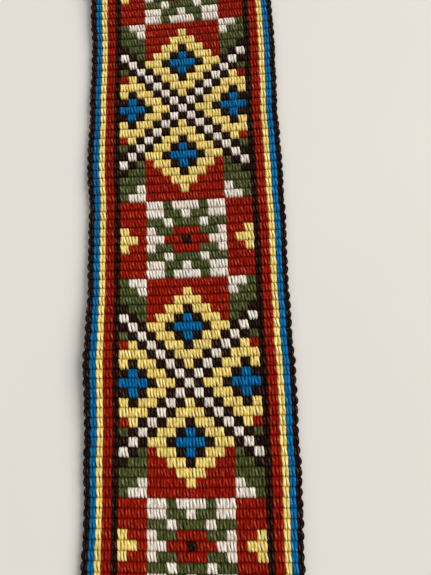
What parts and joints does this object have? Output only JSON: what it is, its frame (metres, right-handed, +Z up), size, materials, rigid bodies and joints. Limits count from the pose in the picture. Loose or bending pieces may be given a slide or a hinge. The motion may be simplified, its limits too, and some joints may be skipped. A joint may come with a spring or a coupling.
{
  "type": "hand-woven patterned band",
  "caption": "Flat hand-woven band with crosses, diamonds and rosettes in coloured warp, striped borders, scalloped selvedges and a short fringe at each end.",
  "frame": {"origin": "middle of the underside, where the band rests", "axes": "+X across the band, +Y along the band in the direction of its warp, +Z up out of its face"},
  "size_m": [0.056, 0.3802, 0.0017],
  "materials": {
    "selvedge_yarn": "two-ply yarn, soft and slightly lustrous",
    "blue_yarn": "two-ply yarn, soft and slightly lustrous",
    "yellow_yarn": "two-ply yarn, soft and slightly lustrous",
    "red_yarn": "two-ply yarn, soft and slightly lustrous",
    "dark_yarn": "two-ply yarn, soft and slightly lustrous",
    "patterned_yarns": "two-ply yarn, soft and slightly lustrous",
    "weft_yarn": "two-ply yarn, soft and slightly lustrous"
  },
  "bodies": {
    "root": {"edge_end_left_1": "selvedge_yarn", "edge_end_left_2": "selvedge_yarn", "blue_end_left_1": "blue_yarn", "blue_end_left_2": "blue_yarn", "yellow_end_left_1": "yellow_yarn", "yellow_end_left_2": "yellow_yarn", "red_end_left_1": "red_yarn", "red_end_left_2": "red_yarn", "red_end_left_3": "red_yarn", "dark_end_left_1": "dark_yarn", "dark_end_left_2": "dark_yarn", "edge_end_right_1": "selvedge_yarn", "edge_end_right_2": "selvedge_yarn", "blue_end_right_1": "blue_yarn", "blue_end_right_2": "blue_yarn", "yellow_end_right_1": "yellow_yarn", "yellow_end_right_2": "yellow_yarn", "red_end_right_1": "red_yarn", "red_end_right_2": "red_yarn", "red_end_right_3": "red_yarn", "dark_end_right_1": "dark_yarn", "dark_end_right_2": "dark_yarn", "pattern_column_1": "patterned_yarns", "pattern_column_2": "patterned_yarns", "pattern_column_3": "patterned_yarns", "pattern_column_4": "patterned_yarns", "pattern_column_5": "patterned_yarns", "pattern_column_6": "patterned_yarns", "pattern_column_7": "patterned_yarns", "pattern_column_8": "patterned_yarns", "pattern_column_9": "patterned_yarns", "pattern_column_10": "patterned_yarns", "pattern_column_11": "patterned_yarns", "pattern_column_12": "patterned_yarns", "pattern_column_13": "patterned_yarns", "pattern_column_14": "patterned_yarns", "pattern_column_15": "patterned_yarns", "weft": "weft_yarn"}
  },
  "joints": []
}
